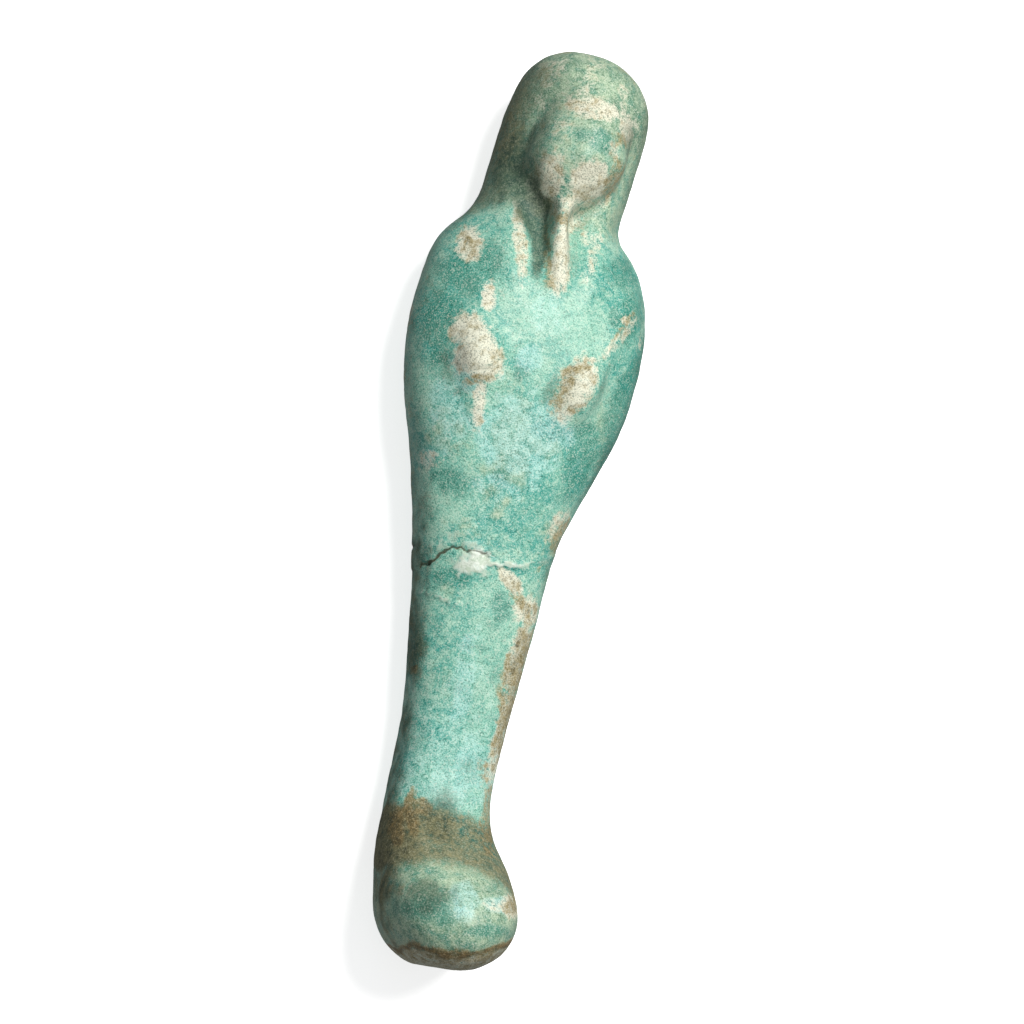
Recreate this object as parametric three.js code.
// An ushabti: a small mummiform figurine moulded in faience, lying on its back.
// Millimetres. +Y runs from the soles to the crown, +Z is the figure's front, +X its own left.
import * as THREE from "three";
import { LoftGeometry } from "three/addons/geometries/LoftGeometry.js";

// The main sizes.
const HEIGHT = 105;
const CHEST_WIDTH = 27.1;
const CHEST_DEPTH = 17;
const ANKLE_WIDTH = 11.4;
const ANKLE_DEPTH = 10.9;
const FOOT_WIDTH = 15.8;
const FOOT_DEPTH = 21.4;
const HEAD_WIDTH = 16.8;
const HEAD_DEPTH = 18.1;
// The low strip down the back: its width, and how far it stands out behind the body.
const PILLAR_WIDTH = 7.6;
const PILLAR_STAND = 1.15;
// The feet and the head stand this far to the figure's left, as the maker pressed them.
const LEAN = 1.5;

// The outline of the moulded body, from the soles up.
// at: share of the height. half: half the width. front and back: where the section ends, counted
// from the face of the pillar. lean: its middle, in shares of LEAN. square: 2 is an oval, more is
// squarer.
const STATIONS = [
  { at: 0.0, half: 0.5 * FOOT_WIDTH, front: 0.98 * FOOT_DEPTH, back: 0.55, lean: 0.84, square: 2.6 },
  { at: 0.04, half: 0.5 * FOOT_WIDTH, front: FOOT_DEPTH, back: 0.55, lean: 0.84, square: 2.6 },
  { at: 0.075, half: 0.487 * FOOT_WIDTH, front: 0.95 * FOOT_DEPTH, back: 0.55, lean: 0.63, square: 2.6 },
  { at: 0.105, half: 0.467 * FOOT_WIDTH, front: 0.79 * FOOT_DEPTH, back: 0.64, lean: 0.24, square: 2.6 },
  { at: 0.135, half: 0.57 * ANKLE_WIDTH, front: 1.21 * ANKLE_DEPTH, back: 0.73, lean: -0.25, square: 2.6 },
  { at: 0.17, half: 0.51 * ANKLE_WIDTH, front: 1.04 * ANKLE_DEPTH, back: 0.82, lean: -0.57, square: 2.7 },
  { at: 0.23, half: 0.5 * ANKLE_WIDTH, front: ANKLE_DEPTH, back: 0.82, lean: -0.4, square: 2.8 },
  { at: 0.3, half: 0.546 * ANKLE_WIDTH, front: 1.06 * ANKLE_DEPTH, back: 0.91, lean: -0.28, square: 2.8 },
  { at: 0.38, half: 0.263 * CHEST_WIDTH, front: 0.74 * CHEST_DEPTH, back: 0.91, lean: -0.35, square: 2.7 },
  { at: 0.46, half: 0.302 * CHEST_WIDTH, front: 0.815 * CHEST_DEPTH, back: 0.91, lean: -0.6, square: 2.6 },
  { at: 0.54, half: 0.391 * CHEST_WIDTH, front: 0.9 * CHEST_DEPTH, back: 1, lean: -0.27, square: 2.5 },
  { at: 0.6, half: 0.465 * CHEST_WIDTH, front: 0.96 * CHEST_DEPTH, back: 1, lean: -0.21, square: 2.4 },
  { at: 0.66, half: 0.5 * CHEST_WIDTH, front: CHEST_DEPTH, back: 1, lean: -0.21, square: 2.3 },
  { at: 0.71, half: 0.495 * CHEST_WIDTH, front: 0.99 * CHEST_DEPTH, back: 1, lean: -0.14, square: 2.3 },
  { at: 0.75, half: 0.471 * CHEST_WIDTH, front: 0.95 * CHEST_DEPTH, back: 1, lean: -0.2, square: 2.2 },
  { at: 0.78, half: 0.42 * CHEST_WIDTH, front: 0.89 * CHEST_DEPTH, back: 0.91, lean: -0.21, square: 2.1 },
  { at: 0.805, half: 0.542 * HEAD_WIDTH, front: 0.78 * HEAD_DEPTH, back: 0.82, lean: -0.18, square: 2.1 },
  { at: 0.83, half: 0.5 * HEAD_WIDTH, front: 0.77 * HEAD_DEPTH, back: 0.73, lean: 0.18, square: 2.1 },
  { at: 0.87, half: 0.494 * HEAD_WIDTH, front: 0.78 * HEAD_DEPTH, back: 0.64, lean: 0.54, square: 2.1 },
  { at: 0.91, half: 0.5 * HEAD_WIDTH, front: 0.88 * HEAD_DEPTH, back: 0.64, lean: 0.82, square: 2.1 },
  { at: 0.95, half: 0.5 * HEAD_WIDTH, front: 0.99 * HEAD_DEPTH, back: 0.73, lean: 0.96, square: 2.1 },
  { at: 1.0, half: 0.5 * HEAD_WIDTH, front: HEAD_DEPTH, back: 0.73, lean: 0.5, square: 2.1 },
];

// The soles are worn round, down to a flat spot of this share of the foot's width.
const SOLE_ROUND = 0.41 * FOOT_WIDTH;
const SOLE_FLAT = 0.36;
// The crown closes over the last part of the height.
const CROWN_FROM = HEIGHT - 0.625 * HEAD_WIDTH;
const CROWN_SQUARE = 2.4;
const CROWN_LAST_TURN = 86;

// The back pillar runs from the heel to the hem of the wig, and sinks in at its ends.
const PILLAR_FROM = 0.022 * HEIGHT;
const PILLAR_TO = 0.79 * HEIGHT;
const PILLAR_SINK = 1.45 * PILLAR_STAND;
const PILLAR_FADE = 2 * PILLAR_STAND;
const PILLAR_FILLET = 0.45 * PILLAR_STAND;

// Where the rays of a section start, between its back and its front.
const CENTRE_SHARE = 0.45;

// The face is a plain, calm egg, framed by the wig, on the usual proportions: its features stand
// on the thirds between the hairline and the chin. Its sizes go by this unit.
const UNIT = HEAD_WIDTH / 16;
const CHIN = 0.812 * HEIGHT;
const HAIRLINE = 0.956 * HEIGHT;
const THIRD = (HAIRLINE - CHIN) / 3;
const BROW = CHIN + 2 * THIRD;
const NOSE_BASE = CHIN + THIRD;
const MOUTH = CHIN + 0.64 * THIRD;
const EYE = BROW - 0.34 * THIRD;
const EYE_OUT = 2.15 * UNIT;
const FACE = { low: CHIN - 0.4 * UNIT, high: HAIRLINE + UNIT, half: 0.36 * HEAD_WIDTH };
// Its middle plane and how far it bulges from it.
const FACE_MIDDLE = 0.63 * HEAD_DEPTH;
const FACE_BULGE = 0.425 * HEAD_DEPTH;
const FACE_BLUNT = 2.5;
const FACE_FILLET = 1.7 * UNIT;
// An egg's lower end is this share narrower than its upper one.
const FACE_TAPER = 0.2;

// The hollow of the throat, between the chin, the front locks of the wig and the chest.
const THROAT = { x: 0, y: 0.8 * HEIGHT, rx: 0.24 * HEAD_WIDTH, ry: 0.052 * HEIGHT, steep: 1.2 };
const THROAT_DEPTH = 0.8 * UNIT;

// The false beard hangs from the chin and widens to a square end on the chest.
const BEARD = { end: 0.726 * HEIGHT, halfTop: 0.95 * UNIT, halfEnd: 1.4 * UNIT, lean: 0.6 * UNIT };
const BEARD_FRONT = { top: 0.93 * CHEST_DEPTH + 0.9 * UNIT, end: CHEST_DEPTH + 0.3 * UNIT };

// The front locks of the wig, low pads beside the face and the beard, highest at their inner edge.
const LOCKS = { top: 0.93 * HEIGHT, end: 0.722 * HEIGHT, inner: 3.3 * UNIT, flare: 2.2 * UNIT };
const LOCK_FADE = 4.4 * UNIT;
const LOCK_RAISE = 0.75 * UNIT;

// The fists, each on its own tool. turn is in degrees from upright.
const FIST_RAISE = 0.105 * CHEST_DEPTH;
const RIGHT_FIST = {
  x: -0.221 * CHEST_WIDTH,
  y: 0.636 * HEIGHT,
  rx: 0.086 * CHEST_WIDTH,
  ry: 0.031 * HEIGHT,
  turn: 20,
};
const RIGHT_WRIST = {
  x: -0.275 * CHEST_WIDTH,
  y: 0.664 * HEIGHT,
  rx: 0.074 * CHEST_WIDTH,
  ry: 0.022 * HEIGHT,
  turn: 30,
};
const LEFT_FIST = {
  x: 0.201 * CHEST_WIDTH,
  y: 0.625 * HEIGHT,
  rx: 0.07 * CHEST_WIDTH,
  ry: 0.035 * HEIGHT,
  turn: -16,
};
const FLAIL = { x0: -0.279 * CHEST_WIDTH, y0: 0.716 * HEIGHT, x1: -0.201 * CHEST_WIDTH, y1: 0.578 * HEIGHT };
const HOE = { x0: 0.38 * CHEST_WIDTH, y0: 0.736 * HEIGHT, x1: 0.159 * CHEST_WIDTH, y1: 0.584 * HEIGHT };
const TOOL_HALF = 0.03 * CHEST_WIDTH;
const TOOL_RAISE = 0.34 * FIST_RAISE;

// How finely the surface is cut: rings by zone, in shares of the height, and rays in each ring.
const ZONES = [
  { to: 0.18, rings: 9 },
  { to: 0.56, rings: 14 },
  { to: 0.78, rings: 18 },
  { to: 0.9, rings: 14 },
];
const SOLE_RINGS = 5;
const CROWN_RINGS = 9;
const RAYS = 64;
// These rays fan out over the pillar. The others crowd towards the front, where the carving is.
const PILLAR_RAYS = 6;
const FRONT_CROWDING = 0.3;

const { cos, sin, atan2, abs, exp, max, min, sqrt, pow, hypot, round, PI } = Math;
const clamp = THREE.MathUtils.clamp;
const smoothstep = THREE.MathUtils.smoothstep;
const lerp = THREE.MathUtils.lerp;

// A smooth curve through one size of the stations.
function through(key) {
  const at = STATIONS.map((s) => s.at * HEIGHT);
  const values = STATIONS.map((s) => s[key]);
  const curve = new THREE.CubicInterpolant(at, values, 1);
  return (y) => curve.evaluate(clamp(y, 0, HEIGHT))[0];
}

const halfAt = through("half");
const frontAt = through("front");
const backAt = through("back");
const leanAt = through("lean");
const squareAt = through("square");

// The larger of a and b, with a fillet where they meet.
function blend(a, b, fillet) {
  const near = max(fillet - abs(a - b), 0) / fillet;
  return max(a, b) + (near * near * fillet) / 4;
}

// How far a section is drawn in at the soles and the crown, as shares of its width and depth.
function drawnIn(y) {
  if (y < SOLE_ROUND) {
    const start = 1 - sqrt(1 - SOLE_FLAT * SOLE_FLAT);
    const t = 1 - lerp(start, 1, y / SOLE_ROUND);
    return { width: sqrt(1 - t * t), depth: pow(1 - t * t * t, 1 / 3) };
  }
  if (y > CROWN_FROM) {
    const t = (y - CROWN_FROM) / (HEIGHT - CROWN_FROM);
    const share = pow(max(1 - pow(t, CROWN_SQUARE), 0), 1 / CROWN_SQUARE);
    return { width: share, depth: share };
  }
  return { width: 1, depth: 1 };
}

// The body's section at height y: its middle, half width, and reach forward and back.
function sectionAt(y) {
  const share = drawnIn(y);
  const front = frontAt(y);
  const back = backAt(y) * PILLAR_STAND;
  const z = lerp(back, front, CENTRE_SHARE);
  return {
    x: leanAt(y) * LEAN,
    z,
    half: halfAt(y) * share.width,
    front: (front - z) * share.depth,
    back: (z - back) * share.depth,
    square: squareAt(y),
  };
}

// Distance from the section's middle to the moulded body along a ray.
function bodyReach(section, c, n) {
  const depth = n > 0 ? section.front : section.back;
  const q = pow(abs(c) / section.half, section.square) + pow(abs(n) / depth, section.square);
  return pow(q, -1 / section.square);
}

// Distance to the face of the back pillar, a box behind the body. It sinks in at its ends.
function pillarReach(section, y, c, n) {
  if (n >= 0 || y < PILLAR_FROM || y > PILLAR_TO) return 0;
  const ends = min(y - PILLAR_FROM, PILLAR_TO - y);
  const sunk = PILLAR_SINK * (1 - sqrt(1 - (1 - min(ends / PILLAR_FADE, 1)) ** 2));
  return min(PILLAR_WIDTH / 2 / max(abs(c), 1e-6), (section.z - sunk) / abs(n));
}

// How far forward the egg of the face stands.
function faceFront(x, y) {
  const t = (2 * y - FACE.low - FACE.high) / (FACE.high - FACE.low);
  const half = FACE.half * (1 - FACE_TAPER * (0.5 - t / 2));
  const inside = 1 - (x / half) ** 2 - pow(abs(t), FACE_BLUNT);
  return FACE_MIDDLE + FACE_BULGE * (inside > 0 ? pow(inside, 0.6) : inside);
}

// A soft mound, 1 in its middle. steep is 1 for a dune and 2 for a pebble. turn is in degrees.
function mound(x, y, { x: cx, y: cy, rx, ry, turn = 0, steep = 1 }) {
  const a = (turn * PI) / 180;
  const u = ((x - cx) * cos(a) + (y - cy) * sin(a)) / rx;
  const v = ((y - cy) * cos(a) - (x - cx) * sin(a)) / ry;
  return exp(-pow(u * u + v * v, steep));
}

// 1 along a line, fading to 0 beside it.
function stroke(x, y, { x0, y0, x1, y1 }, half) {
  const square = (x1 - x0) ** 2 + (y1 - y0) ** 2;
  const t = clamp(((x - x0) * (x1 - x0) + (y - y0) * (y1 - y0)) / square, 0, 1);
  const away = hypot(x - lerp(x0, x1, t), y - lerp(y0, y1, t));
  return exp(-((away / half) ** 4));
}

// 1 from low to high, with soft edges.
function band(x, low, high, soft) {
  const start = smoothstep(x, low - soft / 2, low + soft / 2);
  return start * (1 - smoothstep(x, high - soft / 2, high + soft / 2));
}

function faceRelief(x, y) {
  const u = x / UNIT;
  const v = (height) => (y - height) / UNIT;
  const eye = EYE_OUT / UNIT;
  let raise = 0;
  for (const side of [-eye, eye]) {
    raise -= 0.4 * mound(u, v(EYE), { x: side, y: 0, rx: 1.8, ry: 1.4 });
    raise += 0.25 * mound(u, v(EYE), { x: side, y: -0.1, rx: 1.1, ry: 0.7, steep: 1.5 });
    raise += 0.3 * mound(u, v(NOSE_BASE), { x: 1.3 * side, y: 0.3, rx: 2, ry: 2 });
  }
  const run = clamp((BROW - y) / (BROW - NOSE_BASE), 0, 1);
  const nose = mound(u, 0, { x: 0, y: 0, rx: lerp(0.9, 1.4, run), ry: 1 });
  raise += lerp(0.2, 0.8, run) * nose * band(v(NOSE_BASE), -0.2, (BROW - NOSE_BASE) / UNIT + 0.8, 2.4);
  raise += 0.3 * mound(u, v(MOUTH), { x: 0, y: 0, rx: 1.9, ry: 0.9 });
  raise += 0.3 * mound(u, v(CHIN), { x: 0, y: 1.3, rx: 2, ry: 1.2 });
  return raise * UNIT;
}

function beardRelief(x, y, z) {
  const run = clamp((CHIN - y) / (CHIN - BEARD.end), 0, 1);
  const half = lerp(BEARD.halfTop, BEARD.halfEnd, run);
  const side = mound(x, y, { x: BEARD.lean * run, y, rx: half, ry: 1, steep: 2 });
  const raise = max(lerp(BEARD_FRONT.top, BEARD_FRONT.end, run) - z, 0);
  return raise * side * band(y, BEARD.end, CHIN + UNIT, UNIT);
}

function lockRelief(x, y) {
  const inner = LOCKS.inner + LOCKS.flare * smoothstep(y, lerp(LOCKS.end, LOCKS.top, 0.3), LOCKS.top);
  const edge = smoothstep(abs(x), inner - 0.6 * UNIT, inner + 0.4 * UNIT);
  const fade = 1 - smoothstep(abs(x), inner + 0.4 * UNIT, inner + LOCK_FADE);
  const along = smoothstep(y, LOCKS.end - UNIT, LOCKS.end + UNIT) * (1 - smoothstep(y, CHIN, LOCKS.top));
  return LOCK_RAISE * edge * fade * along;
}

function handRelief(x, y) {
  const right = mound(x, y, { ...RIGHT_FIST, steep: 2 });
  const wrist = 0.6 * mound(x, y, { ...RIGHT_WRIST, steep: 2 });
  const left = mound(x, y, { ...LEFT_FIST, steep: 2.5 });
  const tools = max(stroke(x, y, FLAIL, TOOL_HALF), stroke(x, y, HOE, TOOL_HALF));
  return max(FIST_RAISE * max(right, wrist, left), TOOL_RAISE * tools);
}

// Carving on the front of the figure. x is counted from the middle of the section.
function relief(x, y, z) {
  const hollow = z - THROAT_DEPTH * mound(x, y, THROAT);
  const head = blend(hollow, faceFront(x, y), FACE_FILLET);
  return head - z + faceRelief(x, y) + beardRelief(x, y, head) + lockRelief(x, y) + handRelief(x, y);
}

// Directions of a section's rays, counted from straight back, by its right side, round the front.
function rayAngles(section) {
  const corner = atan2(PILLAR_WIDTH / 2, section.z);
  const others = RAYS - PILLAR_RAYS;
  const angles = [];
  for (let i = 0; i < PILLAR_RAYS; i++) angles.push(lerp(-corner, corner, i / PILLAR_RAYS));
  for (let i = 0; i < others; i++) {
    const even = lerp(corner, 2 * PI - corner, i / others);
    angles.push(even + FRONT_CROWDING * sin((2 * PI * i) / others));
  }
  return angles;
}

// One ring of the surface at height y.
function ringAt(y) {
  const section = sectionAt(y);
  return rayAngles(section).map((angle) => {
    const c = -sin(angle);
    const n = -cos(angle);
    const body = bodyReach(section, c, n);
    const facing = smoothstep(n, 0, 0.35);
    const carved = body + facing * relief(body * c, y, section.z + body * n);
    const reach = blend(carved, pillarReach(section, y, c, n), PILLAR_FILLET);
    return new THREE.Vector3(section.x + reach * c, y, section.z + reach * n);
  });
}

// Heights of the rings: even steps within each zone, closing up round the soles and the crown.
function ringHeights() {
  const heights = [];
  for (let i = 0; i < SOLE_RINGS; i++) heights.push(SOLE_ROUND * (1 - cos((i / SOLE_RINGS) * (PI / 2))));
  let from = SOLE_ROUND;
  for (const { to, rings } of ZONES) {
    for (let i = 0; i < rings; i++) heights.push(lerp(from, to * HEIGHT, i / rings));
    from = to * HEIGHT;
  }
  for (let i = 0; i <= CROWN_RINGS; i++) {
    const turn = (i / CROWN_RINGS) * CROWN_LAST_TURN * (PI / 180);
    heights.push(lerp(from, HEIGHT, pow(sin(turn), 2 / CROWN_SQUARE)));
  }
  return heights;
}

function figurine() {
  const rings = ringHeights().map(ringAt);
  const geometry = new LoftGeometry(rings, { capStart: true, capEnd: true });
  // The origin is below the middle of the figure, on the surface that it lies on.
  geometry.computeBoundingBox();
  const { min: low, max: high } = geometry.boundingBox;
  geometry.translate(-(low.x + high.x) / 2, -(low.y + high.y) / 2, -low.z);
  const faience = new THREE.MeshStandardMaterial({ color: 0x86b8a6, roughness: 0.5, metalness: 0 });
  const mesh = new THREE.Mesh(geometry, faience);
  mesh.name = "ushabti_figure";
  return mesh;
}

const ushabti = new THREE.Group();
ushabti.add(figurine());
export default ushabti;
